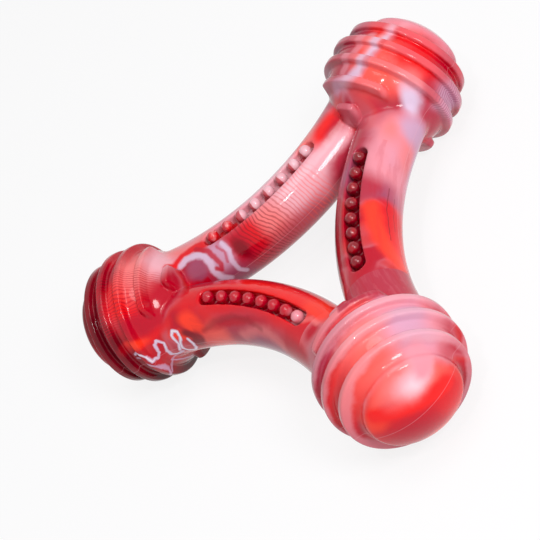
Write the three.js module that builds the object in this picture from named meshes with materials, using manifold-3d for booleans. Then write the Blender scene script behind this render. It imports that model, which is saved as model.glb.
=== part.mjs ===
// A dog chew toy in glossy nylon. Three ribbed ball knobs stand at the corners of a triangle, and three
// round arms that bow in towards the middle join them. Each arm has a slot on its front and its back,
// and a strip of round nubs sits in each slot. The arms plug into two necks on each knob with round pins.
// Millimetres. The toy lies flat: the triangle is in the XY plane, round the origin, and +Z is the front.
import * as THREE from "three";
import { mergeVertices } from "three/addons/utils/BufferGeometryUtils.js";
import Module from "manifold-3d";

const wasm = await Module();
wasm.setup();

// Layout
const knobCount = 3;
const knobDistance = 61.4; // middle of the toy to the centre of a knob
const clearance = 0.3; // gap between two pieces that touch

// Knobs
const ballRadius = 20.3; // smooth ball between the ribs
const crestRadius = 22.4; // sphere that the rib crests reach
const ribPitch = 6.8; // from rib to rib along the knob's axis
const ribRootWidth = 3.2;
const ribLandWidth = 2.2; // flat top of a rib
const shoulderRibLength = 27; // the rib beside the necks, end to end
const stubLength = 8.4; // the stub of a rib between the necks, end to end
const domeRimStation = 16; // knob centre to the rim of the end dome, along the axis
const domeRimRadius = 15.2;
const domeRimDepth = 2.4; // how far the rim's flank runs back along the axis
const domeTip = 21.4; // knob centre to the tip of the end dome

// Arms
const armRadius = 10.2;
const armBendRadius = 83.4; // bend of an arm's middle line
const neckOffset = 8.5; // knob axis to the middle line of each arm where it enters the knob
const jointAngle = THREE.MathUtils.degToRad(18.5); // round the bend, from an arm's middle to its joint
const pinRadius = 5.5;
const pinLength = 9;

// Slots and nub strips
const nubCount = 8;
const nubPitch = 5.73; // from nub to nub along the arm's middle line
const nubRadius = 1.95;
const nubHeight = 9.45; // mid-plane of the toy to the centre of a nub
const nubStemRadius = 1.5;
const slotWidth = 5;
const slotReach = 3.4; // from the last nub's centre to the end of the slot
const stripTop = 7; // mid-plane of the toy to the floor that the nubs stand on
const stripThickness = 1.5;

// Smoothness
const knobSides = 28;
const ballRings = 7;
const domeRings = 4;
const armSides = 20;
const armSteps = 10;
const neckSteps = 5;
const pinSides = 16;
const arcParts = 4; // half the number of sides in each arc of an outline
const nubSides = 8;
const nubRings = 2;
const weld = 1e-4; // vertices closer than this are one
const overrun = 1; // how far a cut runs past what it cuts, and a joined solid into what it joins

// Worked out from the sizes above
const cornerAngle = (2 * Math.PI) / knobCount;
const bendHalfAngle = (Math.PI - cornerAngle) / 2; // arm's middle to where it runs along the knob's axis
const bendLateral = armBendRadius + neckOffset; // knob axis to the centre of the bend
const bendDistance = bendLateral / Math.sin(cornerAngle / 2); // middle of the toy to the centre of the bend
const bendAxial = bendDistance * Math.cos(cornerAngle / 2);
const halfGapAngle = clearance / 2 / armBendRadius;
const neckAngle = bendHalfAngle - jointAngle - halfGapAngle;
const slotCapAngle = (((nubCount - 1) * nubPitch) / 2 + slotReach - slotWidth / 2) / armBendRadius;

const knobMaterial = new THREE.MeshStandardMaterial({ color: "#d8495c", roughness: 0.22, metalness: 0 });
const armMaterial = new THREE.MeshStandardMaterial({ color: "#c22c42", roughness: 0.22, metalness: 0 });
const nubMaterial = new THREE.MeshStandardMaterial({ color: "#a3122a", roughness: 0.18, metalness: 0 });

// A closed three.js geometry as a solid that can be joined and cut.
function solidFrom(geometry) {
  const bare = geometry.clone();
  bare.deleteAttribute("normal");
  bare.deleteAttribute("uv");
  const merged = mergeVertices(bare, weld);
  const corners = merged.index.array;
  const triVerts = [];
  for (let i = 0; i < corners.length; i += 3) {
    const [a, b, c] = corners.slice(i, i + 3);
    if (a !== b && b !== c && c !== a) triVerts.push(a, b, c);
  }
  const mesh = new wasm.Mesh({
    numProp: 3,
    vertProperties: merged.attributes.position.array,
    triVerts: new Uint32Array(triVerts),
  });
  return new wasm.Manifold(mesh);
}

function geometryFrom(solid) {
  const mesh = solid.getMesh();
  const geometry = new THREE.BufferGeometry();
  geometry.setAttribute("position", new THREE.BufferAttribute(mesh.vertProperties, 3));
  geometry.setIndex(new THREE.BufferAttribute(mesh.triVerts, 1));
  geometry.computeVertexNormals();
  return geometry;
}

function joined(solids) {
  return solids.reduce((all, solid) => all.add(solid));
}

// A solid turned round the knob's axis, +Y, from radii and stations along the axis counted from the knob's
// centre. One flat side of it faces the front and another the back.
function turned(points) {
  const profile = points.map(([radius, station]) => new THREE.Vector2(radius, knobDistance + station));
  return solidFrom(new THREE.LatheGeometry(profile, knobSides, Math.PI / knobSides));
}

function circleShape(radius, sides) {
  const points = [];
  for (let i = 0; i < sides; i++) {
    const angle = (2 * Math.PI * i) / sides;
    points.push(new THREE.Vector2(radius * Math.cos(angle), radius * Math.sin(angle)));
  }
  return new THREE.Shape(points);
}

// The arm's round section swept along a middle line.
function tube(line, steps) {
  const options = { steps, extrudePath: line, bevelEnabled: false };
  return solidFrom(new THREE.ExtrudeGeometry(circleShape(armRadius, armSides), options));
}

// A round pin that stands on a point in the plane of the toy, in the direction of an angle. Its foot runs
// past that point.
function pin(x, y, angle, radius, length) {
  const geometry = new THREE.CylinderGeometry(radius, radius, length + overrun, pinSides);
  geometry.translate(0, (length - overrun) / 2, 0);
  geometry.rotateZ(angle - Math.PI / 2);
  geometry.translate(x, y, 0);
  return solidFrom(geometry);
}

// The middle line of a neck, in the knob's frame: round the bend, then straight on to the knob's centre.
class NeckLine extends THREE.Curve {
  constructor(side) {
    super();
    this.side = side;
  }

  getPoint(t, target = new THREE.Vector3()) {
    const bend = neckAngle * armBendRadius;
    const along = t * (bend + knobDistance - bendAxial);
    const angle = Math.max(neckAngle - along / armBendRadius, 0);
    const straight = Math.max(along - bend, 0);
    const x = this.side * (bendLateral - armBendRadius * Math.cos(angle));
    return target.set(x, bendAxial - armBendRadius * Math.sin(angle) + straight, 0);
  }
}

// The middle line of an arm, in the arm's frame: its middle lies on +X and it bows towards the origin.
class ArmLine extends THREE.Curve {
  getPoint(t, target = new THREE.Vector3()) {
    const reach = jointAngle - halfGapAngle;
    const angle = THREE.MathUtils.lerp(-reach, reach, t);
    return target.set(bendDistance - armBendRadius * Math.cos(angle), armBendRadius * Math.sin(angle), 0);
  }
}

function ballPoint(station) {
  return [Math.sqrt(ballRadius ** 2 - station ** 2), station];
}

// The flat top of a rib, its edges as deep as the crest sphere at the rib's station.
function ribLand(station) {
  const crest = Math.sqrt(crestRadius ** 2 - station ** 2);
  return [
    [crest, station - ribLandWidth / 2],
    [crest, station + ribLandWidth / 2],
  ];
}

// What is left of a rib on the front and the back, with ends that are round as seen from the front.
function partRib(station, length) {
  const half = length / 2 - ribRootWidth / 2;
  const y = knobDistance + station;
  const outline = new THREE.Shape();
  outline.absarc(half, y, ribRootWidth / 2, -Math.PI / 2, Math.PI / 2, false);
  outline.absarc(-half, y, ribRootWidth / 2, Math.PI / 2, (3 * Math.PI) / 2, false);
  const depth = 2 * (crestRadius + overrun);
  const options = { depth, curveSegments: arcParts, bevelEnabled: false };
  const block = new THREE.ExtrudeGeometry(outline, options).translate(0, 0, -depth / 2);
  const flank = (ribRootWidth - ribLandWidth) / 2;
  const root = ribLand(station)[0][0] - (crestRadius - ballRadius) - flank;
  const disc = turned([
    [0, station - ribRootWidth / 2],
    [root, station - ribRootWidth / 2],
    ...ribLand(station),
    [root, station + ribRootWidth / 2],
    [0, station + ribRootWidth / 2],
  ]);
  return disc.intersect(solidFrom(block));
}

// The ball with its three whole ribs, and the end dome on a rim that steps out from the ball.
function ribbedBall() {
  const ribs = [-0.5, 0.5, 1.5].map((steps) => steps * ribPitch);
  const lowest = ribs[0] - ribRootWidth / 2;
  const poleAngle = Math.acos(-lowest / ballRadius);
  const points = [];
  for (let i = 0; i < ballRings; i++) {
    const angle = (poleAngle * i) / ballRings;
    points.push([ballRadius * Math.sin(angle), -ballRadius * Math.cos(angle)]);
  }
  ribs.forEach((station) => {
    points.push(ballPoint(station - ribRootWidth / 2));
    points.push(...ribLand(station));
    points.push(ballPoint(station + ribRootWidth / 2));
  });
  const rise = domeTip - domeRimStation;
  const capRadius = (domeRimRadius ** 2 + rise ** 2) / (2 * rise);
  const capAngle = Math.asin(domeRimRadius / capRadius);
  points.push(ballPoint(domeRimStation - domeRimDepth));
  for (let i = domeRings; i >= 0; i--) {
    const angle = (capAngle * i) / domeRings;
    points.push([capRadius * Math.sin(angle), domeTip - capRadius * (1 - Math.cos(angle))]);
  }
  return turned(points);
}

// A ribbed knob with its two necks, in its own frame: the toy's middle at the origin, the axis along +Y.
function knob() {
  const shoulderRib = partRib(-1.5 * ribPitch, shoulderRibLength);
  const stub = partRib(-2.5 * ribPitch, stubLength);
  const sides = [-1, 1];
  const necks = sides.map((side) => tube(new NeckLine(side), neckSteps));
  const sockets = sides.map((side) => {
    const x = side * (bendLateral - armBendRadius * Math.cos(neckAngle));
    const y = bendAxial - armBendRadius * Math.sin(neckAngle);
    const angle = Math.PI / 2 + side * neckAngle;
    return pin(x, y, angle, pinRadius + clearance, pinLength);
  });
  return geometryFrom(joined([ribbedBall(), shoulderRib, stub, ...necks]).subtract(joined(sockets)));
}

// A slot or strip outline that follows the arm's bend, in the arm's frame, with round ends.
function bentOutline(width) {
  const start = Math.PI - slotCapAngle;
  const end = Math.PI + slotCapAngle;
  const outline = new THREE.Shape();
  const cap = (angle, from) => {
    const x = bendDistance + armBendRadius * Math.cos(angle);
    outline.absarc(x, armBendRadius * Math.sin(angle), width / 2, from, from + Math.PI, false);
  };
  outline.absarc(bendDistance, 0, armBendRadius + width / 2, start, end, false);
  cap(end, end);
  outline.absarc(bendDistance, 0, armBendRadius - width / 2, end, start, true);
  cap(start, start + Math.PI);
  return outline;
}

function bentBar(width, low, high) {
  const options = { depth: high - low, curveSegments: arcParts, bevelEnabled: false };
  const geometry = new THREE.ExtrudeGeometry(bentOutline(width), options);
  geometry.translate(0, 0, low);
  return geometry;
}

// An arm with a slot on each face and a pin at each end.
function arm() {
  const reach = jointAngle - halfGapAngle;
  const ends = [-1, 1].map((side) => {
    const x = bendDistance - armBendRadius * Math.cos(reach);
    const y = side * armBendRadius * Math.sin(reach);
    return pin(x, y, side * (Math.PI / 2 - reach), pinRadius, pinLength);
  });
  const floor = stripTop - stripThickness - clearance;
  const front = bentBar(slotWidth, floor, armRadius + overrun);
  const back = front.clone().rotateX(Math.PI);
  const slots = solidFrom(front).add(solidFrom(back));
  return geometryFrom(joined([tube(new ArmLine(), armSteps), ...ends]).subtract(slots));
}

// One round nub on its stem, along +Z.
function nub() {
  const foot = stripTop - stripThickness / 2;
  const profile = [new THREE.Vector2(0, foot), new THREE.Vector2(nubStemRadius, foot)];
  const waist = Math.acos(nubStemRadius / nubRadius);
  for (let i = 0; i <= nubRings + 1; i++) {
    const angle = THREE.MathUtils.lerp(-waist, Math.PI / 2, i / (nubRings + 1));
    profile.push(new THREE.Vector2(nubRadius * Math.cos(angle), nubHeight + nubRadius * Math.sin(angle)));
  }
  profile[profile.length - 1].x = 0;
  return new THREE.LatheGeometry(profile, nubSides).rotateX(Math.PI / 2);
}

// A strip of nubs in the arm's frame, for the front slot.
function nubStrip() {
  const bar = solidFrom(bentBar(slotWidth - 2 * clearance, stripTop - stripThickness, stripTop));
  const nubs = [];
  for (let i = 0; i < nubCount; i++) {
    const angle = ((i - (nubCount - 1) / 2) * nubPitch) / armBendRadius;
    const x = bendDistance - armBendRadius * Math.cos(angle);
    nubs.push(solidFrom(nub().translate(x, armBendRadius * Math.sin(angle), 0)));
  }
  return geometryFrom(joined([bar, ...nubs]));
}

function place(parent, name, geometry, material) {
  const mesh = new THREE.Mesh(geometry, material);
  mesh.name = name;
  parent.add(mesh);
  return mesh;
}

const toy = new THREE.Group();
const knobGeometry = knob();
const armGeometry = arm();
const stripGeometry = nubStrip();

["top", "left", "right"].forEach((name, i) => {
  place(toy, "knob_" + name, knobGeometry, knobMaterial).rotation.z = i * cornerAngle;
});

["right", "left", "bottom"].forEach((name, i) => {
  const group = new THREE.Group();
  group.rotation.z = Math.PI / 2 - cornerAngle / 2 + i * cornerAngle;
  toy.add(group);
  place(group, "arm_" + name, armGeometry, armMaterial);
  place(group, "nubs_" + name + "_front", stripGeometry, nubMaterial);
  place(group, "nubs_" + name + "_back", stripGeometry, nubMaterial).rotation.x = Math.PI;
});

export default toy;
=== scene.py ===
"""Looks of the nylon dog chew toy: three ribbed knobs joined by three arms with rows of nubs in slots."""
from collections import namedtuple
from math import atan2, cos, degrees, hypot, pi, radians, sin, sqrt

import bmesh
import bpy
import numpy as np
from mathutils import Matrix, Vector


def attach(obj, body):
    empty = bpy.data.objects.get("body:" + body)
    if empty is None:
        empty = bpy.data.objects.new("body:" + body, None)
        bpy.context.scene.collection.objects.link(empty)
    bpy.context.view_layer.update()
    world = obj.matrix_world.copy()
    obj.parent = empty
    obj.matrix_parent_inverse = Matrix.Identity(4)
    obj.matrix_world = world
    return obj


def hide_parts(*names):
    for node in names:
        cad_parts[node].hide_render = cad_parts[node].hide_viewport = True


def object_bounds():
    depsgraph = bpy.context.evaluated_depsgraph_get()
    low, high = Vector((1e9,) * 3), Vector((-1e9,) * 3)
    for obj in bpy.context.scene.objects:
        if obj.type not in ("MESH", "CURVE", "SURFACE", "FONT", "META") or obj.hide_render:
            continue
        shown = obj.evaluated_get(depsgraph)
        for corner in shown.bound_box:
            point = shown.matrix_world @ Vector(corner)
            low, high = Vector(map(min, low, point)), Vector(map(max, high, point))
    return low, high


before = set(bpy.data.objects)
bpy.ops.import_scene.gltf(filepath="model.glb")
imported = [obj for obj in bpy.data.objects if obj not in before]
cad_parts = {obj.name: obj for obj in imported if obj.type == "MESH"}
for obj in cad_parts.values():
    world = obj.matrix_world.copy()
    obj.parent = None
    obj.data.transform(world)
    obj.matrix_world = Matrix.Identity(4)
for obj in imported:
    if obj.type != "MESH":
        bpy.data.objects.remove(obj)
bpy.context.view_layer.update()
MM = 0.001

# Sizes in millimetres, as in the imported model. A station is a distance along a knob's axis from its centre
KNOB_DISTANCE = 61.4  # toy's middle to a knob's centre
BALL = 20.3  # a knob's radius between its ribs
CREST = 22.4  # knob's centre to the ribs' crests
RIB_PITCH = 6.8
RIB_ROOT = 3.2  # width of a rib at the ball
RIB_LAND = 2.2  # width of a rib at its crest
RIB_TAPER_LIMITS = (-1, 1.5)  # how much half a rib's width may change with depth
WHOLE_RIBS = (-0.5 * RIB_PITCH, 0.5 * RIB_PITCH, 1.5 * RIB_PITCH)  # stations
SHOULDER_RIB = (-1.5 * RIB_PITCH, 26.4)  # station and length of the part rib on the front and back
STUB = (-2.5 * RIB_PITCH, 8)  # station and length of the stub rib between the necks
DOME_ROOT = 9  # station where the end dome starts, inside the ball
DOME_RIM_STATION = 16
DOME_RIM_RADIUS = 15.2
DOME_FLARE = 0.15  # how much the rim's flank widens towards the tip
DOME_TIP = 21.4  # station of the end dome's tip
DOME_SAG = 0.02  # how fast the dome falls away from its tip, per square millimetre
ARM = 10.2  # radius of an arm and of a neck
BEND = 83.4  # radius of the bend in an arm's middle line
NECK_OFFSET = 8.5  # knob's axis to a neck's middle line
JOINT = radians(18.5)  # angle round the bend from an arm's middle to its joint with a neck
NUBS = 8
NUB_PITCH = 5.73
NUB = 1.95  # radius
NUB_HEIGHT = 9.45  # toy's mid-plane to a nub's centre
NUB_STEM = 1.5  # radius
NUB_STEM_REACH = 1  # above and below the strip's top
SLOT = 5  # width
SLOT_REACH = 3.4  # last nub's centre to the end of the slot
SLOT_FLOOR = 5.6  # toy's mid-plane to the floor of a slot
STRIP_TOP = 7
STRIP_HALF = 0.9  # half the strip's thickness
STRIP_GAP = 0.1  # how much narrower the strip is than its slot
BEND_LATERAL = BEND + NECK_OFFSET
BEND_DISTANCE = BEND_LATERAL / sin(pi / 3)
BEND_AXIAL = BEND_DISTANCE * cos(pi / 3)

# Radii of the rounded edges and hollow corners, in millimetres
RIB_FILLET = 0.55
SHORT_RIB_FILLET = 0.5
DOME_RIM_EDGE = 1.3
DOME_ROOT_EDGE = 0.5
DOME_FILLET = 0.7
NECK_FILLET = 0.6
SLOT_CORNER = 0.5
SLOT_EDGE = 1.1
STRIP_EDGE = 0.3
NUB_FILLET = 0.5

# Sampling of the surfaces, in millimetres
STEP = 0.4
SLOPE_REACH = 0.04  # how far from a point its slope is measured
LEAST_SLOPE = 0.2  # keeps a step towards the surface short where the field is flat
SETTLING = 4  # steps that bring each point onto the surface
KNOB_MARGIN = 1
NECK_SPREAD = 4  # how far the necks may reach past the crests
NECK_TAIL = 9.5  # how far the knob's box reaches past the joints, towards the toy's middle
ARM_BOX = ((11, -31, -11), (39, 31, 11))
STRIP_BOX = ((17, -24, 4.5), (29, 24, 12))

KNOB_TURNS = {"top": 0, "left": 2 * pi / 3, "right": 4 * pi / 3}
ARM_TURNS = {"right": pi / 6, "left": 5 * pi / 6, "bottom": 3 * pi / 2}
FACE_TURNS = {"front": 0, "back": pi}


def joined(a, b, fillet):
    """Distance to two solids joined with a fillet."""
    h = np.clip(0.5 + 0.5 * (b - a) / fillet, 0, 1)
    return b + (a - b) * h - fillet * h * (1 - h)


def common(a, b, rounding):
    """Distance to what two solids share, its edge rounded."""
    return -joined(-a, -b, rounding)


def rib(off, rho, station, edge):
    """Distance to a rib: off is the distance from its middle line, rho the distance from the knob's axis."""
    crest = sqrt(CREST**2 - station**2)
    slope = (RIB_ROOT - RIB_LAND) / 2 / (CREST - BALL)
    half = RIB_LAND / 2 + np.clip(slope * (crest - rho), *RIB_TAPER_LIMITS)
    return common(rho - crest, (off - half) / hypot(1, slope), edge)


def knob(p):
    """Distance to a knob with its two necks. The knob's axis is +Y and the toy's middle the origin."""
    x, y, z = np.abs(p[..., 0]), p[..., 1], p[..., 2]
    s = y - KNOB_DISTANCE
    rho = np.hypot(x, z)
    d = np.hypot(rho, s) - BALL
    rise = DOME_TIP - DOME_RIM_STATION
    cap = (DOME_RIM_RADIUS**2 + rise**2) / (2 * rise)
    dome = np.hypot(rho, s - DOME_TIP + cap) - cap
    flank = rho - DOME_RIM_RADIUS - DOME_FLARE * (s - DOME_RIM_STATION)
    dome = common(dome, flank, DOME_RIM_EDGE)
    d = joined(d, common(dome, DOME_ROOT - s, DOME_ROOT_EDGE), DOME_FILLET)
    for station in WHOLE_RIBS:
        d = joined(d, rib(np.abs(s - station), rho, station, RIB_FILLET), RIB_FILLET)
    for station, length in (SHOULDER_RIB, STUB):
        past = np.maximum(x - (length - RIB_ROOT) / 2, 0)
        d = joined(d, rib(np.hypot(past, s - station), rho, station, SHORT_RIB_FILLET), SHORT_RIB_FILLET)
    bend = np.where(y < BEND_AXIAL, np.hypot(x - BEND_LATERAL, y - BEND_AXIAL) - BEND, x - NECK_OFFSET)
    neck = np.maximum(np.hypot(bend, z) - ARM, s)
    return joined(d, neck, NECK_FILLET)


def along_bend(p):
    """Angle round the bend and distance outwards from the arm's middle line, in the arm's frame."""
    away = BEND_DISTANCE - p[..., 0]
    return np.arctan2(p[..., 1], away), BEND - np.hypot(away, p[..., 1])


def slot_outline(p, width):
    """Distance to a slot's outline, seen from the front, with round ends."""
    angle, off = along_bend(p)
    reach = (NUBS - 1) / 2 * NUB_PITCH + SLOT_REACH - SLOT / 2
    past = np.maximum(np.abs(angle) * BEND - reach, 0)
    return np.hypot(past, off) - width / 2


def arm(p):
    """Distance to an arm. Its middle lies on +X and it bows towards the origin."""
    z = np.abs(p[..., 2])
    tube = np.hypot(along_bend(p)[1], z) - ARM
    slot = common(slot_outline(p, SLOT), SLOT_FLOOR - z, SLOT_CORNER)
    return common(tube, -slot, SLOT_EDGE)


def nub_strip(p):
    """Distance to a strip of nubs, for the front slot."""
    z = p[..., 2]
    slab = np.abs(z - STRIP_TOP + STRIP_HALF) - STRIP_HALF
    bar = common(slot_outline(p, SLOT - STRIP_GAP), slab, STRIP_EDGE)
    for i in range(NUBS):
        angle = (i - (NUBS - 1) / 2) * NUB_PITCH / BEND
        x = p[..., 0] - BEND_DISTANCE + BEND * cos(angle)
        y = p[..., 1] - BEND * sin(angle)
        off = np.hypot(x, y)
        stem = np.maximum(off - NUB_STEM, np.abs(z - STRIP_TOP) - NUB_STEM_REACH)
        nub = joined(np.hypot(off, z - NUB_HEIGHT) - NUB, stem, NUB_FILLET)
        bar = joined(bar, nub, NUB_FILLET)
    return bar


def slope_of(field, points):
    """The field's gradient at the points."""
    steps = np.array([(1, 1, 1), (1, -1, -1), (-1, 1, -1), (-1, -1, 1)]) * SLOPE_REACH
    return sum(step * field(points + step)[:, None] for step in steps) / (4 * SLOPE_REACH**2)


def skin(field, low, high, step):
    """Points and quads of the surface where the field is zero: one point in each cell that it crosses."""
    axes = [np.arange(a, b + step, step) for a, b in zip(low, high)]
    value = field(np.stack(np.meshgrid(*axes, indexing="ij"), -1))
    unit = np.eye(3, dtype=int)
    cells, crossings, flips = [], [], []
    for axis in range(3):
        start = [slice(1, -1)] * 3
        end = [slice(1, -1)] * 3
        start[axis], end[axis] = slice(0, -1), slice(1, None)
        a, b = value[tuple(start)], value[tuple(end)]
        edge = np.argwhere((a < 0) != (b < 0))
        a, b = a[tuple(edge.T)], b[tuple(edge.T)]
        edge = edge + 1 - unit[axis]
        u, v = unit[(axis + 1) % 3], unit[(axis + 2) % 3]
        cells.append(np.stack([edge, edge - u, edge - u - v, edge - v], 1))
        crossings.append(edge + (a / (a - b))[:, None] * unit[axis])
        flips.append(a >= 0)
    crossings = np.repeat(np.concatenate(crossings), 4, axis=0)
    ids = np.ravel_multi_index(np.concatenate(cells).reshape(-1, 3).T, value.shape)
    _, ids = np.unique(ids, return_inverse=True)
    count = np.bincount(ids)
    points = np.stack([np.bincount(ids, crossings[:, k]) / count for k in range(3)], 1)
    points = np.array([a[0] for a in axes]) + step * points
    quads = ids.reshape(-1, 4)
    flips = np.concatenate(flips)
    quads[flips] = quads[flips, ::-1]
    for _ in range(SETTLING):
        slope = slope_of(field, points)
        shift = field(points)[:, None] * slope / np.maximum((slope**2).sum(1), LEAST_SLOPE)[:, None]
        points -= np.clip(shift, -step / 2, step / 2)
    return points, quads


def cut(points, quads, planes):
    """The surface with what lies past each plane (point, normal) cut away and the cut closed."""
    bm = bmesh.new()
    verts = [bm.verts.new(p) for p in points]
    for quad in quads:
        bm.faces.new([verts[i] for i in quad])
    for place, normal in planes:
        whole = bm.verts[:] + bm.edges[:] + bm.faces[:]
        made = bmesh.ops.bisect_plane(bm, geom=whole, plane_co=place, plane_no=normal, clear_outer=True)
        rim = [e for e in made["geom_cut"] if isinstance(e, bmesh.types.BMEdge)]
        bmesh.ops.edgeloop_fill(bm, edges=rim)
    bm.verts.index_update()
    points = np.array([v.co for v in bm.verts])
    faces = [[v.index for v in f.verts] for f in bm.faces]
    bm.free()
    return points, faces


def piece(name, shape, field, turn, material):
    """The shape as a named piece in the toy's frame, with the field's slope as its normals."""
    points, faces = shape
    turn = np.array(turn)[:3, :3]
    normals = slope_of(field, points)
    normals /= np.linalg.norm(normals, axis=1)[:, None]
    mesh = bpy.data.meshes.new(name)
    mesh.from_pydata((points @ turn.T * MM).tolist(), [], [list(f) for f in faces])
    mesh.shade_smooth()
    mesh.normals_split_custom_set_from_vertices((normals @ turn.T).tolist())
    mesh.materials.append(material)
    o = bpy.data.objects.new(name, mesh)
    bpy.context.scene.collection.objects.link(o)
    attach(o, "root")
    return o


# Colours of the marbled nylon, as sRGB codes
WINE = "#5A0010"
MAROON = "#860018"
CRIMSON = "#BC0024"
RED = "#E00818"
BRIGHT = "#F41414"
ORANGE = "#FF3A22"
CORAL = "#F8584E"
SALMON = "#F27C7C"
PINK = "#E8909E"
PALE = "#EEB0BC"
DUSTY = "#B62E44"
MAUVE = "#A04866"
LILAC = "#CC9FBC"
LAVENDER = "#D8BFD8"
WHITE = "#F0E4EC"
GROUND = (WINE, CRIMSON, RED, CORAL, PINK, DUSTY, CRIMSON)

# A flow is a soft ellipse of colour: its middle is a place on its piece, its size its half width and half
# length in millimetres, its lean is in degrees, and its edge the share of its size over which it fades.
# A vein is a line of colour through places, with a half width and a soft rim in millimetres, and perhaps a
# core of another colour. A place is degrees round the piece from its front, and millimetres along it from
# its middle
Flow = namedtuple("Flow", "color middle size lean edge amount", defaults=(0, 0.5, 1))
Vein = namedtuple("Vein", "color line width soft amount core", defaults=(1, None))

# A neck's colours run on from its knob into its arm: the arm's name, the length along it, the colour right
# round it and the layers on that
Neck = namedtuple("Neck", "arm along color layers")

NECK_SQUIGGLE = [(96, -38), (80, -36), (60, -36.5), (51, -35.4), (55, -33.6), (66, -33.4), (79, -35),
                 (93, -36.2), (105, -35.2), (110, -33), (100, -31), (87, -30.4), (74, -31)]
LONG_SWIRL = [(-23, 33.4), (-17, 30.8), (-19, 27.3), (-30, 24.8), (-45, 24), (-60, 24.4), (-80, 23.6),
              (-91, 22.1)]
NECKS = {
    "top_right": Neck("right", 26, MAUVE, [
        Flow(PINK, (60, 26), (8, 9), edge=0.6),
        Flow(SALMON, (62, 31), (5, 5), edge=0.7),
        Flow(LILAC, (114, 26), (8, 9), edge=0.6, amount=0.8),
        Flow(SALMON, (90, 26), (3.5, 8), edge=0.7, amount=0.8),
        Flow(LILAC, (90, 36), (6, 4), edge=0.6),
        Flow(DUSTY, (-40, 26), (8, 8)),
    ]),
    "top_left": Neck("left", -27, PINK, [
        Flow(SALMON, (20, -24), (6, 5)),
        Flow(BRIGHT, (-12, -30), (3.2, 7), lean=6),
        Flow(CRIMSON, (-27, -30), (2.4, 6), lean=14, edge=0.6),
        Flow(PALE, (-48, -25), (3.6, 8), lean=14),
        Flow(DUSTY, (-85, -26), (5, 9), edge=0.4),
    ]),
    "left_left": Neck("left", 26, CRIMSON, [
        Flow(SALMON, (35, 29), (7, 9), edge=0.4),
        Flow(PINK, (60, 26), (7, 9)),
        Flow(LILAC, (-50, 21), (6.5, 4.5), amount=0.9),
        Flow(MAUVE, (-48, 29), (5, 4.5)),
        Flow(MAUVE, (-110, 22), (6, 8)),
        Flow(MAROON, (-55, 14), (4, 2)),
        Vein(RED, [(-21, 36), (-8, 32), (-2, 27), (-8, 23)], 0.8, 1.2),
        Vein(LAVENDER, LONG_SWIRL, 0.5, 1.2, amount=0.9),
        Vein(CRIMSON, [(-8, 26.7), (-21, 23.6), (-38, 22.1), (-56, 21.3), (-66, 22.2), (-60, 23.2)],
             0.4, 0.9, amount=0.85),
        Vein(CRIMSON, [(-26, 20), (-42, 18.6), (-60, 19.4)], 0.1, 0.7, amount=0.6),
        Vein(LAVENDER, [(-26, 18), (-45, 17.2), (-63, 18.2), (-84, 18.3), (-97, 17)], 0.3, 0.9, amount=0.9),
    ]),
    "left_bottom": Neck("bottom", -27, CRIMSON, [
        Flow(CORAL, (85, -20), (5, 6), amount=0.8),
        Flow(RED, (0, -27), (5, 5), edge=0.6),
        Flow(ORANGE, (44, -27), (3.4, 5), lean=-30, edge=0.45),
        Flow(ORANGE, (66, -33), (1.8, 4), lean=-20, amount=0.8),
        Flow(MAROON, (84, -27.5), (4, 2.4), lean=-20, edge=0.4),
        Flow(MAROON, (66, -30), (1.5, 3), lean=-20),
        Vein(LAVENDER, NECK_SQUIGGLE, 0.3, 0.45, core=WHITE),
    ]),
    "right_bottom": Neck("bottom", 27, RED, [
        Flow(DUSTY, (80, 28), (5, 8)),
        Flow(CRIMSON, (52, 25), (3, 7)),
        Flow(ORANGE, (-30, 25), (4, 6), amount=0.8),
        Flow(CRIMSON, (10, 30), (3, 2), edge=0.6),
        Vein(SALMON, [(-2, 24), (-10, 26), (-10, 29)], 0.1, 1.6, amount=0.6),
    ]),
}

# Coral and red front, mauve left side, lilac right side, and a white streak down the front
TOP_KNOB = [
    Flow(MAUVE, (-45, 0), (15, 20)),
    Flow(DUSTY, (-18, -3), (6, 9), edge=0.7),
    Flow(PINK, (-18, 15), (9, 5)),
    Flow(CORAL, (32, 2), (12, 18), edge=0.4),
    Flow(RED, (62, 6), (11, 7), edge=0.6),
    Flow(BRIGHT, (60, 4), (10, 3), edge=0.6, amount=0.7),
    Flow(RED, (30, 10), (11, 2.6), edge=0.6, amount=0.8),
    Flow(CRIMSON, (92, 7), (8, 8), lean=15),
    Flow(PINK, (50, 18), (16, 4)),
    Flow(RED, (60, 13), (16, 1.2), edge=0.6),
    Flow(DUSTY, (135, 0), (17, 9)),
    Flow(LILAC, (103, -1), (8.5, 5.5), edge=0.4, amount=0.8),
    Flow(CRIMSON, (78, -4), (4, 5), amount=0.8),
    Flow(SALMON, (57, -4), (5, 5), edge=0.6),
    Flow(LAVENDER, (70, -8.5), (6.5, 3.6), lean=-25),
    Flow(DUSTY, (112, -9), (9, 4)),
    Flow(LILAC, (-12, -13.5), (5, 2), lean=25, edge=0.6, amount=0.8),
    Flow(CRIMSON, (-40, 6), (9, 2), edge=0.6, amount=0.7),
    Flow(CRIMSON, (-38, -8), (8, 1.6), edge=0.6, amount=0.6),
    Flow(PALE, (17, 4), (1.8, 11), lean=-10, edge=0.8, amount=0.9),
    Flow(LAVENDER, (16, 1), (1.1, 8), lean=-10, edge=0.8, amount=0.8),
    Flow(LAVENDER, (8, -9), (1.7, 6.5), lean=-26, edge=0.8, amount=0.9),
]
TOP_COMB = Flow(MAUVE, (103, -1), (8, 5), edge=0.4, amount=0.6)  # where the combed lines show
TOP_KNOB_VEINS = [
    Vein(PINK, [(4, 7), (0, 2), (-4, -3), (-9, -8)], 0.6, 1.6, amount=0.6),
    Vein(CRIMSON, [(27, 9), (24, 4), (19, -1), (15, -7)], 0.3, 1.4, amount=0.35),
]

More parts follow.
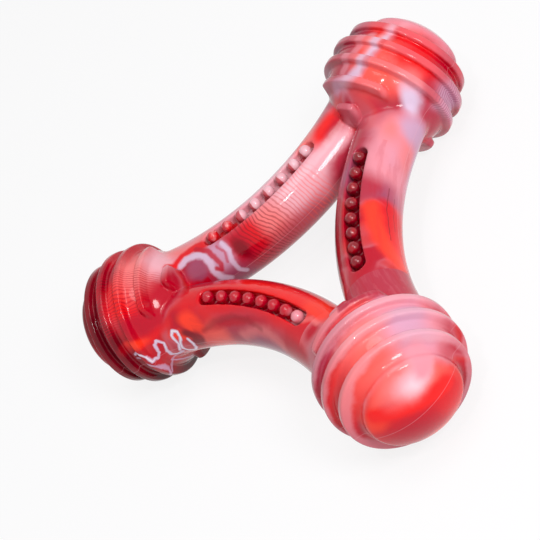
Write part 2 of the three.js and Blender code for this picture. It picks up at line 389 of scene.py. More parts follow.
# Deep red with wine-coloured bands, and a pale patch on the front shoulder, beside the stub, that is partly a
# painted reflection of a lamp
LEFT_KNOB = [
    Flow(MAROON, (-20, 13), (30, 9)),
    Flow(MAROON, (-95, 6), (20, 9)),
    Flow(WINE, (-60, 9.5), (24, 1.2), edge=0.7, amount=0.8),
    Flow(WINE, (-40, 2.6), (24, 1), edge=0.7, amount=0.7),
    Flow(WINE, (-145, 4), (20, 18)),
    Flow(RED, (-25, -6), (9, 7)),
    Flow(BRIGHT, (-22, -3), (7, 4), edge=0.6, amount=0.8),
    Flow(SALMON, (6, -9), (9, 6), edge=0.6),
    # Pale patch beside the stub: partly a painted reflection of a lamp
    Flow(PALE, (30, -15), (8, 5)),
    Flow(CRIMSON, (45, -1), (11, 5), amount=0.8),
    Flow(RED, (-64, -8), (2.2, 9), lean=10),
    Flow(ORANGE, (-66, -4), (1.5, 4), edge=0.7),
    Flow(CRIMSON, (-50, -8), (4, 8)),
]

# White squiggle that runs on over the lower neck, and the thinner lines round it
SQUIGGLE = [(-75, -0.6), (-72, -2.4), (-79, -4.4), (-86, -4.6), (-90, -6), (-86, -7.8), (-76, -8.4),
            (-73, -9.6), (-78, -11.1), (-89, -10), (-96, -10), (-99, -11.4), (-97, -13.1)]
LOOP = [(-80, -0.3), (-86, -2.4), (-93, -4.3), (-101, -5.1), (-108, -5.1), (-114, -3.5), (-120, 0)]
TAIL = [(-97, -13.1), (-104, -8.5), (-113, -5)]
BRANCH = [(-105, -8.2), (-130, -10.6)]
LEFT_KNOB_SQUIGGLES = [
    Vein(LAVENDER, SQUIGGLE, 0.3, 0.45, core=WHITE),
    Vein(LILAC, LOOP, 0.15, 0.5, amount=0.9),
    Vein(LILAC, TAIL, 0.15, 0.5, amount=0.8),
    Vein(LILAC, BRANCH, 0.15, 0.5, amount=0.8),
]

# Salmon front with a pink and lilac left side. The crimson round its far side is partly painted shade, and
# the red and crimson bands in the grooves of its lower side are painted shade
RIGHT_KNOB = [
    Flow(RED, (20, 5), (24, 24), edge=0.3),
    # Crimson round the far side: partly the nylon's colour, partly painted shade
    Flow(CRIMSON, (115, 4), (26, 18), edge=0.4),
    # Painted shade: red in the grooves of the lower side
    Flow(RED, (62, 7), (8, 8), edge=0.6),
    Flow(SALMON, (-8, 6), (11, 15), edge=0.6),
    Flow(CORAL, (3, 11), (8, 5), amount=0.6),
    Flow(CORAL, (25, 12), (9, 7), edge=0.6, amount=0.5),
    Flow(PINK, (-50, 6), (10, 14)),
    Flow(DUSTY, (60, -3), (10, 6), edge=0.6, amount=0.7),
    Flow(MAUVE, (20, -5), (16, 4), amount=0.6),
    Flow(LILAC, (-45, 3), (6, 14), edge=0.6, amount=0.75),
    Flow(PINK, (-35, -4), (10, 3.5)),
    # Painted shade: crimson bands in the grooves of the lower side
    Flow(CRIMSON, (50, 2), (14, 2.4), edge=0.7, amount=0.6),
    Flow(CRIMSON, (55, 9), (12, 2), edge=0.7, amount=0.6),
]

# Red end dome with a pale flow on its upper side that is partly a painted highlight, and crimson on its lower
# side that is partly painted shade. A place on a dome is in millimetres from the knob's axis, across and up
RIGHT_DOME = [
    Flow(CORAL, (0, 0), (16, 16), edge=0.15),
    Flow(RED, (5, -3), (13, 13), edge=0.2),
    # Crimson on the lower side: partly the nylon's colour, partly painted shade
    Flow(CRIMSON, (6, -6), (10, 9), edge=0.7),
    Flow(RED, (-9, -4), (5, 7)),
    Flow(ORANGE, (11.5, 7), (4, 3.5), edge=0.6, amount=0.8),
    Flow(ORANGE, (1, -13.5), (6, 1.6), edge=0.7, amount=0.7),
    Vein(BRIGHT, [(10, 8), (4, 6), (-3, 3.5), (-10, 0.5)], 1, 2.8),
    # Pale flow with a white middle on the upper side: partly a painted highlight
    Flow(SALMON, (-4, 9.5), (8, 4.5), edge=0.6),
    Flow(PALE, (-6, 9.5), (5.5, 3.4), lean=15, edge=0.7),
    Flow(WHITE, (-5, 8.5), (3.2, 2), lean=20, edge=0.9, amount=0.4),
    Flow(PINK, (-10, 11), (5, 3), lean=40),
]

# Crimson and orange towards the right knob, mauve and pink towards the top knob
RIGHT_ARM = [
    Flow(MAROON, (-60, -4), (6, 22), edge=0.6),
    Flow(RED, (85, -7), (8, 13), edge=0.4),
    Flow(BRIGHT, (85, -17), (5, 7), edge=0.6, amount=0.8),
    Vein(ORANGE, [(37, 0), (41, -6), (50, -13), (62, -19), (74, -24)], 0.8, 3.6),
    Flow(MAUVE, (70, 10), (13, 6), edge=0.3),
    Flow(DUSTY, (25, 9), (5, 5)),
    Flow(PINK, (60, 19), (12, 7)),
    Flow(PINK, (112, 14), (7, 12), amount=0.7),
    Flow(MAUVE, (-30, 18), (6, 10), edge=0.6),
]
RIGHT_ARM_LINES = [
    Vein(WINE, [(68, -13), (67, -7), (64, 1), (66, 9)], 0.03, 0.25, amount=0.6),
    Vein(WINE, [(80, -8), (79, -1), (80, 6)], 0.02, 0.2, amount=0.5),
]

# Pale pink towards the top knob, then salmon and red, and crimson towards the left knob
LEFT_ARM = [
    Flow(PINK, (-50, -10), (16, 20), edge=0.4),
    Flow(PALE, (-35, -9), (7, 13)),
    Flow(SALMON, (-60, 3), (15, 6), edge=0.7),
    Flow(RED, (-55, 10), (16, 5), edge=0.6),
    Flow(CRIMSON, (-60, 17), (17, 7)),
    Flow(PINK, (50, 0), (10, 34), edge=0.3),
    Flow(PALE, (25, -4), (2, 14), edge=0.6),
    Flow(DUSTY, (-115, 0), (7, 24), edge=0.4, amount=0.85),
]

# The left arm's combed lines sweep back round its side, and turn from coral to maroon along it
SWEEP_START = 30  # degrees from the front towards the inner side
SWEEP_RATE = -0.07  # millimetres per degree
SWEEP_BETWEEN = (6, -8)  # lengths between which the sweep fades out
COMB_CORAL = -12  # length where the lines are all coral
COMB_MAROON = 4  # length where they are all maroon

# Red front, bright red inner side and dusty outer side
BOTTOM_ARM = [
    Flow(RED, (0, 0), (9, 34), edge=0.4),
    Flow(BRIGHT, (-40, 5), (6, 26)),
    Flow(CRIMSON, (-60, -24), (7, 7)),
    Flow(CRIMSON, (-75, 4), (4, 30), edge=0.6),
    Flow(DUSTY, (75, 2), (8, 18), edge=0.4),
    Flow(CORAL, (80, -20), (6, 6), amount=0.8),
    Flow(MAUVE, (95, 12), (6, 14)),
    Flow(CRIMSON, (50, -8), (1.4, 14), lean=10, edge=0.6),
]
BOTTOM_ARM_VEINS = [
    Vein(SALMON, [(70, -4), (52, 4), (50, 10), (62, 17)], 0.2, 3, amount=0.55),
    Vein(MAROON, [(62, -22), (46, -16), (36, -8), (38, 0), (48, 6)], 0.1, 1.6, amount=0.45),
]

# A row of nubs: its colour and its streaks' colour, perhaps another colour past a length along the arm, and
# perhaps a darker colour on the far half of each nub, which is painted shade
NubRow = namedtuple("NubRow", "color streak end past half", defaults=(None, None, None))
NUB_ROWS = {
    "right": NubRow(MAROON, RED),
    "left": NubRow(PALE, WHITE, end=RED, past=11, half=CRIMSON),
    "bottom": NubRow(CRIMSON, RED, end=PINK, past=17),
}

# The nylon's pattern and surface: lengths in millimetres, noise scales in waves per millimetre
DRIFT_SCALE = 0.07
DRIFT_REACH = 5
RIPPLE_SCALE = 0.35
RIPPLE_REACH = 1.1
MARBLE_SCALE = 0.045
MARBLE_SWIRL = 1.2
MARBLE_FROM, MARBLE_TO = 0.3, 0.7  # values of the noise between which the ground's colours lie
TINT = 0.7  # how much of the ground a piece's own colour covers
FLOW_DEPTH = 10  # how far below the surface a flow reaches at most
VEIN_DEPTH = 8  # how many times further a vein reaches below the surface than along it
CORE_SHARE = 0.3  # share of a vein's half width that its core fills
ROUND_SIZE = (18, 7)  # half width and half length of the colour right round a neck
ROUND_EDGE = 0.3
SIDE_BLEND = 0.5  # half the width over which the colours of a knob's two necks meet
STREAK_FROM, STREAK_TO = 0.45, 0.7  # values of the noise between which a streak fades in
STREAK_STRETCH = 0.12
LINE_FROM, LINE_TO = -0.1, 0.95  # values of a wave between which a combed line fades in
CREST_HIGHLIGHT_FROM, CREST_HIGHLIGHT_TO = CREST - 1.6, CREST - 0.3
CREST_HIGHLIGHT_END, CREST_HIGHLIGHT_GONE = 15, 17  # stations between which the painted highlight on the crests fades out
SEAM_HALF, SEAM_END = 0.05, 0.2  # heights between which the parting line fades out
SEAM_TINT = 0.2
SEAM_RISE = 0.6
HAZE_SCALE = 0.25
HAZE_SPREAD = 0.16  # how much the roughness varies over the surface
DENT_SCALE = 0.5
DENT_STRENGTH = 0.25
DENT_DEPTH = 0.15
IOR = 1.45
COAT = 0.15
COAT_ROUGHNESS = 0.05
NUB_SHADE_FULL, NUB_SHADE_GONE = STRIP_TOP + 0.2, STRIP_TOP + 1.4  # heights between which the painted shade at the nubs' roots fades
NUB_BASE_SHADE = 0.4
NUB_BLEND = 1.2  # length over which a row's other colour sets in
FAR_SHADE_FULL = -0.45  # value of the wave along the row from which the painted shade on a nub's far half is full
FAR_SHADE_AMOUNT = 0.85
KNOB_REACH = 32  # a knob and its necks lie further than this from the toy's middle, along the knob's axis
ARM_REACH = 31.5  # an arm, with what lies just past its joints, ends at this length

# Colour sockets of the Mix node, by place, because its other sockets have the same names
MIX_BELOW, MIX_ABOVE, MIX_RESULT = 6, 7, 2


def linear(color):
    """Scene colour of an sRGB code."""
    parts = [int(color[i:i + 2], 16) / 255 for i in (1, 3, 5)]
    return tuple(c / 12.92 if c < 0.04045 else ((c + 0.055) / 1.055) ** 2.4 for c in parts) + (1,)


def frame_at(turn, point, across, normal):
    """Place on the surface, in the toy's frame: X across, Y along, Z out of the surface."""
    across, normal = Vector(across), Vector(normal).normalized()
    here = Matrix((across, normal.cross(across), normal)).transposed().to_4x4()
    here.translation = point
    return Matrix.Rotation(turn, 4, "Z") @ here


def on_knob(name, around, station):
    """Place on a knob: degrees round its axis from the front, and millimetres along it from its centre."""
    phi = radians(around)
    rho = sqrt(max(CREST**2 - station**2, 0))
    point = (rho * sin(phi), KNOB_DISTANCE + station, rho * cos(phi))
    normal = (rho * sin(phi), station, rho * cos(phi))
    return frame_at(KNOB_TURNS[name], point, (cos(phi), 0, -sin(phi)), normal)


def on_dome(name, x, z):
    """Place on a knob's end dome, by the distance from the knob's axis towards +X and +Z."""
    point = (x, KNOB_DISTANCE + DOME_TIP - DOME_SAG * (x * x + z * z), z)
    return frame_at(KNOB_TURNS[name], point, (1, 0, 0), (0, 1, 0))


def on_arm(name, around, along):
    """Place on an arm: degrees round its middle line from the front, and millimetres from its middle."""
    theta, angle = radians(around), along / BEND
    out = Vector((cos(angle), -sin(angle), 0))
    up = Vector((0, 0, 1))
    normal = out * sin(theta) + up * cos(theta)
    point = Vector((BEND_DISTANCE - BEND * cos(angle), BEND * sin(angle), 0)) + ARM * normal
    return frame_at(ARM_TURNS[name], point, out * cos(theta) - up * sin(theta), normal)


class Number:
    """A number that varies over a surface, with the usual arithmetic."""

    def __init__(self, tree, socket):
        self.tree = tree
        self.socket = socket

    def math(self, operation, *others):
        """What a Math node makes of this number and the others."""
        node = self.tree.nodes.new("ShaderNodeMath")
        node.operation = operation
        for place, value in zip(node.inputs, (self, *others)):
            if isinstance(value, Number):
                self.tree.links.new(value.socket, place)
            else:
                place.default_value = value
        return Number(self.tree, node.outputs[0])

    def __add__(self, other):
        return self.math("ADD", other)

    def __sub__(self, other):
        return self.math("SUBTRACT", other)

    def __mul__(self, other):
        return self.math("MULTIPLY", other)

    def fade(self, start, end):
        """One at the start, smoothly falling to zero at the end."""
        node = self.tree.nodes.new("ShaderNodeMapRange")
        node.interpolation_type = "SMOOTHSTEP"
        self.tree.links.new(self.socket, node.inputs["Value"])
        node.inputs["From Min"].default_value = min(start, end)
        node.inputs["From Max"].default_value = max(start, end)
        node.inputs["To Min"].default_value = int(start < end)
        node.inputs["To Max"].default_value = int(start > end)
        return Number(self.tree, node.outputs["Result"])

    def within(self, low, high, soft):
        """One where the number lies between low and high."""
        return self.fade(low, low - soft) * self.fade(high, high + soft)


class Nylon:
    """Marbled glossy nylon of a knob or an arm: flows and veins of colour are laid over a marbled ground."""

    def __init__(self, name, on, part):
        self.material = bpy.data.materials.new(name)
        self.material.use_nodes = True
        self.tree = self.material.node_tree
        self.on = on
        self.turn = (KNOB_TURNS if on == "knob" else ARM_TURNS)[part]
        self.limit = None
        self.place = self.vector("SCALE", self.node("ShaderNodeTexCoord").outputs["Object"], scale=1 / MM)
        self.rippled = self.vector("ADD", self.place, self.shift(RIPPLE_SCALE, 2, RIPPLE_REACH))
        self.warped = self.vector("ADD", self.rippled, self.shift(DRIFT_SCALE, 1, DRIFT_REACH))
        self.color = self.marble()
        self.unroll()

    def node(self, kind):
        return self.tree.nodes.new(kind)

    def link(self, source, target):
        self.tree.links.new(source, target)

    def vector(self, operation, a, b=None, scale=None):
        """What a Vector Math node makes of the vector a, and of a vector or a scale."""
        node = self.node("ShaderNodeVectorMath")
        node.operation = operation
        self.link(a, node.inputs[0])
        if scale is not None:
            node.inputs["Scale"].default_value = scale
        elif isinstance(b, tuple):
            node.inputs[1].default_value = b
        elif b is not None:
            self.link(b, node.inputs[1])
        return node.outputs["Value" if operation == "LENGTH" else "Vector"]

    def noise(self, place, scale, detail, distortion=0, stretch=(1, 1, 1)):
        """Noise node over a place."""
        mapping = self.node("ShaderNodeMapping")
        mapping.inputs["Scale"].default_value = stretch
        self.link(place, mapping.inputs["Vector"])
        node = self.node("ShaderNodeTexNoise")
        self.link(mapping.outputs["Vector"], node.inputs["Vector"])
        node.inputs["Scale"].default_value = scale
        node.inputs["Detail"].default_value = detail
        node.inputs["Distortion"].default_value = distortion
        return node

    def grain(self, place, scale, detail, **options):
        """Noise from zero to one."""
        return Number(self.tree, self.noise(place, scale, detail, **options).outputs["Fac"])

    def shift(self, scale, detail, reach):
        """Random shift of a place, by up to half the reach each way."""
        noise = self.noise(self.place, scale, detail).outputs["Color"]
        return self.vector("SCALE", self.vector("SUBTRACT", noise, (0.5, 0.5, 0.5)), scale=reach)

    def marble(self):
        """The ground's colour."""
        ramp = self.node("ShaderNodeValToRGB")
        steps = ramp.color_ramp.elements
        while len(steps) < len(GROUND):
            steps.new(0.5)
        for i, (step, color) in enumerate(zip(steps, GROUND)):
            step.position = MARBLE_FROM + (MARBLE_TO - MARBLE_FROM) * i / (len(GROUND) - 1)
            step.color = linear(color)
        swirls = self.grain(self.warped, MARBLE_SCALE, 1, distortion=MARBLE_SWIRL)
        self.link(swirls.socket, ramp.inputs["Fac"])
        return ramp.outputs["Color"]

    def split(self, place):
        """The three numbers of a place."""
        parts = self.node("ShaderNodeSeparateXYZ")
        self.link(place, parts.inputs["Vector"])
        return [Number(self.tree, out) for out in parts.outputs]

    def unroll(self):
        """Sets the place in the piece's own axes: across, along and up in millimetres, around in degrees."""
        turned = self.node("ShaderNodeMapping")
        turned.vector_type = "TEXTURE"
        turned.inputs["Rotation"].default_value = (0, 0, self.turn)
        self.link(self.warped, turned.inputs["Vector"])
        x, y, self.up = self.split(turned.outputs["Vector"])
        if self.on == "knob":
            self.across, self.along = x, y - KNOB_DISTANCE
        else:
            away = x * -1 + BEND_DISTANCE
            self.along = y.math("ARCTAN2", away) * BEND
            self.across = (away * away + y * y).math("SQRT") * -1 + BEND
        self.around = self.across.math("ARCTAN2", self.up) * degrees(1)

    def height(self):
        """Millimetres from the toy's mid-plane."""
        return self.split(self.place)[2].math("ABSOLUTE")

    def seen_from(self, place, here, size):
        """The place in the axes of a frame, in units of the size."""
        node = self.node("ShaderNodeMapping")
        node.vector_type = "TEXTURE"
        node.inputs["Location"].default_value = here.translation
        node.inputs["Rotation"].default_value = here.to_euler()
        node.inputs["Scale"].default_value = size
        self.link(place, node.inputs["Vector"])
        return node.outputs["Vector"]

    def covers(self, point):
        """Whether a point of the toy lies on this piece or near its ends."""
        x, y, _ = Matrix.Rotation(-self.turn, 3, "Z") @ point
        if self.on == "knob":
            return y > KNOB_REACH
        return abs(atan2(y, BEND_DISTANCE - x)) * BEND < ARM_REACH

    def mix(self, color):
        """Lays the colour over what is there, and gives the socket for how much of it shows."""
        node = self.node("ShaderNodeMix")
        node.data_type = "RGBA"
        self.link(self.color, node.inputs[MIX_BELOW])
        node.inputs[MIX_ABOVE].default_value = linear(color)
        self.color = node.outputs[MIX_RESULT]
        return node.inputs["Factor"]

    def tint(self, color, amount=TINT):
        """Lays the colour evenly over what is there."""
        self.mix(color).default_value = amount

    def paint(self, color, amount):
        """Lays the colour over what is there, within the limit if there is one."""
        if self.limit is not None:
            amount = amount * self.limit
        self.link(amount.socket, self.mix(color))

    def spot(self, here, size, lean=0, edge=0.5):
        """One within an ellipse on the surface, smoothly falling to zero past its edge."""
        here = here @ Matrix.Rotation(radians(lean), 4, "Z")
        near = self.seen_from(self.warped, here, (*size, min(max(size), FLOW_DEPTH)))
        return Number(self.tree, self.vector("LENGTH", near)).fade(1 - edge, 1 + edge)

    def flow(self, flow, here):
        """Paints a flow, if it is on this piece."""
        if self.covers(here.translation):
            self.paint(flow.color, self.spot(here, flow.size, flow.lean, flow.edge) * flow.amount)

    def vein(self, vein, line):
        """Paints a vein through the places of a line, where it is on this piece."""
        nearest = None
        for start, end in zip(line, line[1:]):
            a, b = start.translation, end.translation
            if not (self.covers(a) or self.covers(b)):
                continue
            ahead = (b - a).normalized()
            side = (start.col[2].to_3d() + end.col[2].to_3d()).cross(ahead).normalized()
            here = Matrix((ahead, side, ahead.cross(side))).transposed().to_4x4()
            here.translation = (a + b) / 2
            near = self.vector("ABSOLUTE", self.seen_from(self.rippled, here, (1, 1, VEIN_DEPTH)))
            near = self.vector("SUBTRACT", near, ((b - a).length / 2, 0, 0))
            near = Number(self.tree, self.vector("LENGTH", self.vector("MAXIMUM", near, (0, 0, 0))))
            nearest = near if nearest is None else nearest.math("MINIMUM", near)
        if nearest is None:
            return
        self.paint(vein.color, nearest.fade(vein.width, vein.width + vein.soft) * vein.amount)
        if vein.core is not None:
            self.paint(vein.core, nearest.fade(vein.width * CORE_SHARE, vein.width) * vein.amount)

    def lay(self, layers, on, part):
        """Paints flows and veins in their order, at places on a part."""
        for layer in layers:
            if isinstance(layer, Flow):
                self.flow(layer, on(part, *layer.middle))
            else:
                self.vein(layer, [on(part, *place) for place in layer.line])

    def neck(self, name, side=0):
        """Paints a neck's colours. On a knob they keep to the side of the neck: -1 is -X and 1 is +X."""
        neck = NECKS[name]
        if side:
            self.limit = self.across.fade(side * SIDE_BLEND, -side * SIDE_BLEND)
        middle = on_arm(neck.arm, 0, neck.along) @ Matrix.Translation((0, 0, -ARM))
        self.paint(neck.color, self.spot(middle, ROUND_SIZE, edge=ROUND_EDGE))
        self.lay(neck.layers, on_arm, neck.arm)
        self.limit = None

    def streaks(self, color, scale, amount, stretch=STREAK_STRETCH):
        """Fine flow lines of a colour along the piece."""
        both = self.node("ShaderNodeCombineXYZ")
        for number, axis in zip((self.across, self.along, self.up), "XYZ"):
            self.link(number.socket, both.inputs[axis])
        lines = self.grain(both.outputs["Vector"], scale, 2, stretch=(1, stretch, 1))
        self.paint(color, lines.fade(STREAK_TO, STREAK_FROM) * amount)

    def crests(self, color, amount):
        """Paints a highlight on the crests of a knob's ribs."""
        away = (self.across * self.across + self.along * self.along + self.up * self.up).math("SQRT")
        self.paint(color, away.fade(CREST_HIGHLIGHT_TO, CREST_HIGHLIGHT_FROM) * self.along.fade(CREST_HIGHLIGHT_END, CREST_HIGHLIGHT_GONE) * amount)

    def comb(self, color, amount, per_mm, per_degree=0, sweep=None):
        """Thin lines, so many per millimetre along the piece and per degree round it. A sweep shifts them."""
        along = self.along if sweep is None else self.along + sweep
        phase = along * per_mm + self.around * per_degree
        wave = (phase * (2 * pi)).math("SINE")
        self.paint(color, wave.fade(LINE_TO, LINE_FROM) * amount)

    def finish(self, roughness=0.11, specular=0.22):
        """Adds the mould's parting line, the fine unevenness of the surface and the gloss."""
        seam = self.height().fade(SEAM_HALF, SEAM_END)
        self.paint(PALE, seam * SEAM_TINT)
        haze = self.grain(self.place, HAZE_SCALE, 3) - 0.5
        dents = self.grain(self.place, DENT_SCALE, 2)
        bump = self.node("ShaderNodeBump")
        bump.inputs["Strength"].default_value = DENT_STRENGTH
        bump.inputs["Distance"].default_value = DENT_DEPTH * MM
        self.link((dents + seam * SEAM_RISE).socket, bump.inputs["Height"])
        surface = self.tree.nodes["Principled BSDF"].inputs
        self.link(self.color, surface["Base Color"])
        self.link((haze * HAZE_SPREAD + roughness).socket, surface["Roughness"])
        self.link(bump.outputs["Normal"], surface["Normal"])
        surface["Specular IOR Level"].default_value = specular
        surface["IOR"].default_value = IOR
        surface["Coat Weight"].default_value = COAT
        surface["Coat Roughness"].default_value = COAT_ROUGHNESS
        return self.material


def top_knob():
    """Coral and mauve, with the necks of the right and left arms."""
    n = Nylon("knob_top_nylon", "knob", "top")
    n.tint(DUSTY)
    n.lay(TOP_KNOB, on_knob, "top")
    # Painted highlight: pink on the rib crests
    n.crests(PINK, amount=0.3)
    n.lay(TOP_KNOB_VEINS, on_knob, "top")
    combed = n.spot(on_knob("top", *TOP_COMB.middle), TOP_COMB.size, edge=TOP_COMB.edge)
    n.comb(TOP_COMB.color, combed * TOP_COMB.amount, per_mm=0.1, per_degree=0.35)
    n.neck("top_right", side=1)
    n.neck("top_left", side=-1)
    return n.finish()


def left_knob():
    """Deep red, with the white squiggle and fine combed lines."""
    n = Nylon("knob_left_nylon", "knob", "left")
    n.tint(CRIMSON)
    n.lay(LEFT_KNOB, on_knob, "left")
    n.neck("left_left", side=1)
    n.neck("left_bottom", side=-1)
    n.lay(LEFT_KNOB_SQUIGGLES, on_knob, "left")
    combed = n.around.within(low=-48, high=0, soft=10) * n.along.within(low=-13, high=5, soft=2)
    n.comb(CRIMSON, combed * 0.65, per_mm=0.05, per_degree=0.36)
    return n.finish()


def right_knob():
    """Salmon, with a red dome and a plain neck to the right arm."""
    n = Nylon("knob_right_nylon", "knob", "right")
    n.tint(CRIMSON)
    n.lay(RIGHT_KNOB, on_knob, "right")
    # Painted highlight: pale on the rib crests
    n.crests(PALE, amount=0.4)
    n.lay(RIGHT_DOME, on_dome, "right")
    plain_neck = n.across.fade(-SIDE_BLEND, SIDE_BLEND) * n.along.fade(-10, -9)
    n.paint(DUSTY, plain_neck)
    n.limit = plain_neck
    n.streaks(CRIMSON, scale=0.7, amount=0.3, stretch=0.05)
    n.streaks(PINK, scale=0.9, amount=0.1, stretch=0.05)
    n.neck("right_bottom", side=1)
    return n.finish()


def right_arm():
    """Crimson to pink, with two fine dark lines."""
    n = Nylon("arm_right_nylon", "arm", "right")
    n.tint(CRIMSON)
    n.lay(RIGHT_ARM, on_arm, "right")
    n.neck("top_right")
    n.lay(RIGHT_ARM_LINES, on_arm, "right")
    n.streaks(CRIMSON, scale=0.5, amount=0.2)
    return n.finish()


def left_arm():
    """Pale pink to crimson, with combed lines between."""
    n = Nylon("arm_left_nylon", "arm", "left")
    n.tint(DUSTY)
    n.lay(LEFT_ARM, on_arm, "left")
    n.neck("top_left")
    n.neck("left_left")
    sweep = (n.around + SWEEP_START).math("MINIMUM", 0) * n.along.fade(*SWEEP_BETWEEN) * SWEEP_RATE
    combed = n.around.within(low=-100, high=-22, soft=20) * n.along.within(low=-15, high=11, soft=5)
    maroon = combed * n.along.fade(COMB_MAROON, COMB_CORAL) * 0.6
    coral = combed * n.along.fade(COMB_CORAL, COMB_MAROON) * 0.45
    n.comb(MAROON, maroon, per_mm=0.75, sweep=sweep)
    n.comb(CORAL, coral, per_mm=0.75, sweep=sweep)
    return n.finish()


def bottom_arm():
    """Red, with soft veins on its outer side."""
    n = Nylon("arm_bottom_nylon", "arm", "bottom")
    n.tint(CRIMSON)
    n.lay(BOTTOM_ARM, on_arm, "bottom")
    n.neck("left_bottom")
    n.neck("right_bottom")
    n.lay(BOTTOM_ARM_VEINS, on_arm, "bottom")
    n.streaks(CRIMSON, scale=0.4, amount=0.25)
    return n.finish()


def nub_nylon(name):
    """Nylon of an arm's two rows of nubs, with painted shade at their roots and, on some rows, on the far
    half of each nub.
    """
    row = NUB_ROWS[name]
    n = Nylon(f"nubs_{name}_nylon", "arm", name)
    n.tint(row.color, 1)
    if row.end:
        n.paint(row.end, n.along.fade(row.past, row.past - NUB_BLEND))
    n.streaks(row.streak, scale=0.4, amount=0.3, stretch=1)
    # Painted shade on the far half of each nub
    if row.half:
        wave = (n.along * (2 * pi / NUB_PITCH)).math("SINE")
        n.paint(row.half, wave.fade(FAR_SHADE_FULL, 0) * FAR_SHADE_AMOUNT)
    # Painted shade at the nubs' roots, down in the slot
    n.paint(WINE, n.height().fade(NUB_SHADE_FULL, NUB_SHADE_GONE) * NUB_BASE_SHADE)
    return n.finish(roughness=0.06, specular=0.45)


def knobs(step):
    """Places the three knobs."""
    bend = pi / 6 - JOINT
    joint_x, joint_y = BEND_LATERAL - BEND * cos(bend), BEND_AXIAL - BEND * sin(bend)
    planes = [((side * joint_x, joint_y, 0), (side * sin(bend), -cos(bend), 0)) for side in (-1, 1)]
    reach = CREST + KNOB_MARGIN
    low = (-reach - NECK_SPREAD, joint_y - NECK_TAIL, -reach)
    high = (reach + NECK_SPREAD, KNOB_DISTANCE + DOME_TIP + KNOB_MARGIN, reach)
    shape = cut(*skin(knob, low, high, step), planes)
    looks = {"top": top_knob(), "left": left_knob(), "right": right_knob()}
    for name, angle in KNOB_TURNS.items():
        turn = Matrix.Rotation(angle, 4, "Z")
        o = piece("shown_knob_" + name, shape, knob, turn, looks[name])
        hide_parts("knob_" + name)


def arms(step):
    """Places the three arms, each with a strip of nubs on its front and back."""
    end_x, end_y = BEND_DISTANCE - BEND * cos(JOINT), BEND * sin(JOINT)
    planes = [((end_x, side * end_y, 0), (sin(JOINT), side * cos(JOINT), 0)) for side in (-1, 1)]
    shape = cut(*skin(arm, *ARM_BOX, step), planes)
    strip = skin(nub_strip, *STRIP_BOX, step / 2)
    looks = {"right": right_arm(), "left": left_arm(), "bottom": bottom_arm()}
    for name, angle in ARM_TURNS.items():
        turn = Matrix.Rotation(angle, 4, "Z")
        nubs = nub_nylon(name)
        o = piece("shown_arm_" + name, shape, arm, turn, looks[name])
        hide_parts("arm_" + name)
        for face, flip in FACE_TURNS.items():
            spin = turn @ Matrix.Rotation(flip, 4, "X")
            o = piece(f"shown_nubs_{name}_{face}", strip, nub_strip, spin, nubs)
            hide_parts(f"nubs_{name}_{face}")


# Camera: its turn about +Z, elevation and roll in degrees, its place in metres in its own axes, and its lens
VIEW_TURN = 69.3045
VIEW_ELEVATION = 39.5847
VIEW_ROLL = -48.593
VIEW_PLACE = (-0.011174, -0.005557, 0.522879)
LENS = 113.559  # millimetres
SENSOR = 36  # millimetres
CLIP_START = 0.01

# Lamps, all aimed at the toy's middle: metres and watts
Lamp = namedtuple("Lamp", "name place size power")
LAMPS = [
    Lamp("key", (0.2, 0.1, 0.9), 0.5, 2.8),
    Lamp("spark", (0.53, 0.015, 0.45), 0.2, 2.5),
    Lamp("glint", (0.3, -0.17, 0.64), 0.04, 0.7),
]
SKY_SEEN = 1
SKY_LIGHT = 0.27
FLOOR_HALF = 3
FLOOR_COLOR = (0.9, 0.88, 0.92, 1)
FLOOR_ROUGHNESS = 0.9
FLOOR_SPECULAR = 0.1
FLOOR_WHITE = 0.85  # share of plain white in the floor where it is seen


def camera():
    """Stands at the photograph's viewing angle to the toy, with the photograph's roll."""
    turn = (
        Matrix.Rotation(radians(VIEW_TURN), 4, "Z")
        @ Matrix.Rotation(radians(90 - VIEW_ELEVATION), 4, "X")
        @ Matrix.Rotation(radians(VIEW_ROLL), 4, "Z")
    )
    eye = bpy.data.cameras.new("camera")
    eye.lens = LENS
    eye.sensor_width = SENSOR
    eye.clip_start = CLIP_START
    stand = bpy.data.objects.new("camera", eye)
    stand.matrix_world = Matrix.Translation(turn @ Vector(VIEW_PLACE)) @ turn
    bpy.context.scene.collection.objects.link(stand)
    bpy.context.scene.camera = stand


def light(lamp):
    """Hangs a round lamp."""
    data = bpy.data.lights.new(lamp.name, "AREA")
    data.shape = "DISK"
    data.size = lamp.size
    data.energy = lamp.power
    o = bpy.data.objects.new(lamp.name, data)
    o.location = lamp.place
    o.rotation_euler = (-Vector(lamp.place)).to_track_quat("-Z", "Y").to_euler()
    bpy.context.scene.collection.objects.link(o)


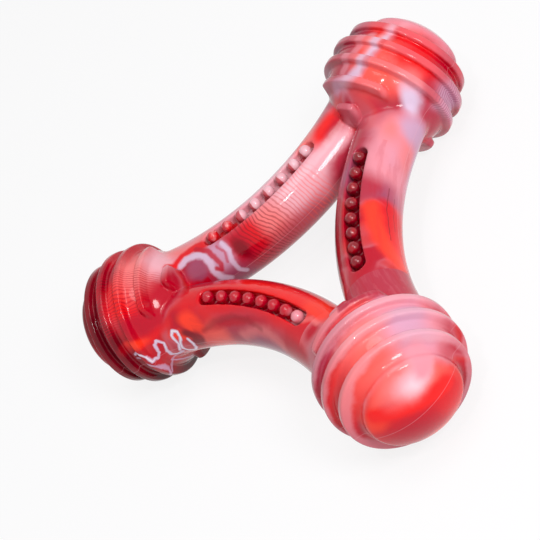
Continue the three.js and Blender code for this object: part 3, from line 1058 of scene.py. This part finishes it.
def seen_share(tree, seen, other):
    """The first number for what the camera, a reflection or a glass shows, the other for the rest."""
    path = tree.nodes.new("ShaderNodeLightPath")
    camera_ray, glossy, through = (
        Number(tree, path.outputs[ray]) for ray in ("Is Camera Ray", "Is Glossy Ray", "Is Transmission Ray")
    )
    share = camera_ray.math("MAXIMUM", glossy).math("MAXIMUM", through)
    return share * (seen - other) + other


def sky():
    """White surroundings that light the toy softly."""
    world = bpy.data.worlds.new("studio")
    bpy.context.scene.world = world
    world.use_nodes = True
    tree = world.node_tree
    back = tree.nodes["Background"]
    back.inputs["Color"].default_value = (1, 1, 1, 1)
    tree.links.new(seen_share(tree, SKY_SEEN, SKY_LIGHT).socket, back.inputs["Strength"])


def paper():
    """Pale paper, nearly white where it is seen, that still shows the toy's shadow."""
    material = bpy.data.materials.new("pale_floor")
    material.use_nodes = True
    tree = material.node_tree
    shade = tree.nodes["Principled BSDF"]
    shade.inputs["Base Color"].default_value = FLOOR_COLOR
    shade.inputs["Roughness"].default_value = FLOOR_ROUGHNESS
    shade.inputs["Specular IOR Level"].default_value = FLOOR_SPECULAR
    white = tree.nodes.new("ShaderNodeEmission")
    both = tree.nodes.new("ShaderNodeMixShader")
    tree.links.new(seen_share(tree, FLOOR_WHITE, 0).socket, both.inputs["Fac"])
    tree.links.new(shade.outputs["BSDF"], both.inputs[1])
    tree.links.new(white.outputs["Emission"], both.inputs[2])
    tree.links.new(both.outputs["Shader"], tree.nodes["Material Output"].inputs["Surface"])
    return material


def ground():
    """Lays the floor under the toy."""
    half, z = FLOOR_HALF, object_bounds()[0][2]
    mesh = bpy.data.meshes.new("floor")
    corners = [(-half, -half, z), (half, -half, z), (half, half, z), (-half, half, z)]
    mesh.from_pydata(corners, [], [range(4)])
    mesh.materials.append(paper())
    floor = bpy.data.objects.new("floor", mesh)
    bpy.context.scene.collection.objects.link(floor)


grid_step = STEP
knobs(grid_step)
arms(grid_step)
camera()
sky()
for lamp in LAMPS:
    light(lamp)
ground()
bpy.context.scene.view_settings.view_transform = "Standard"
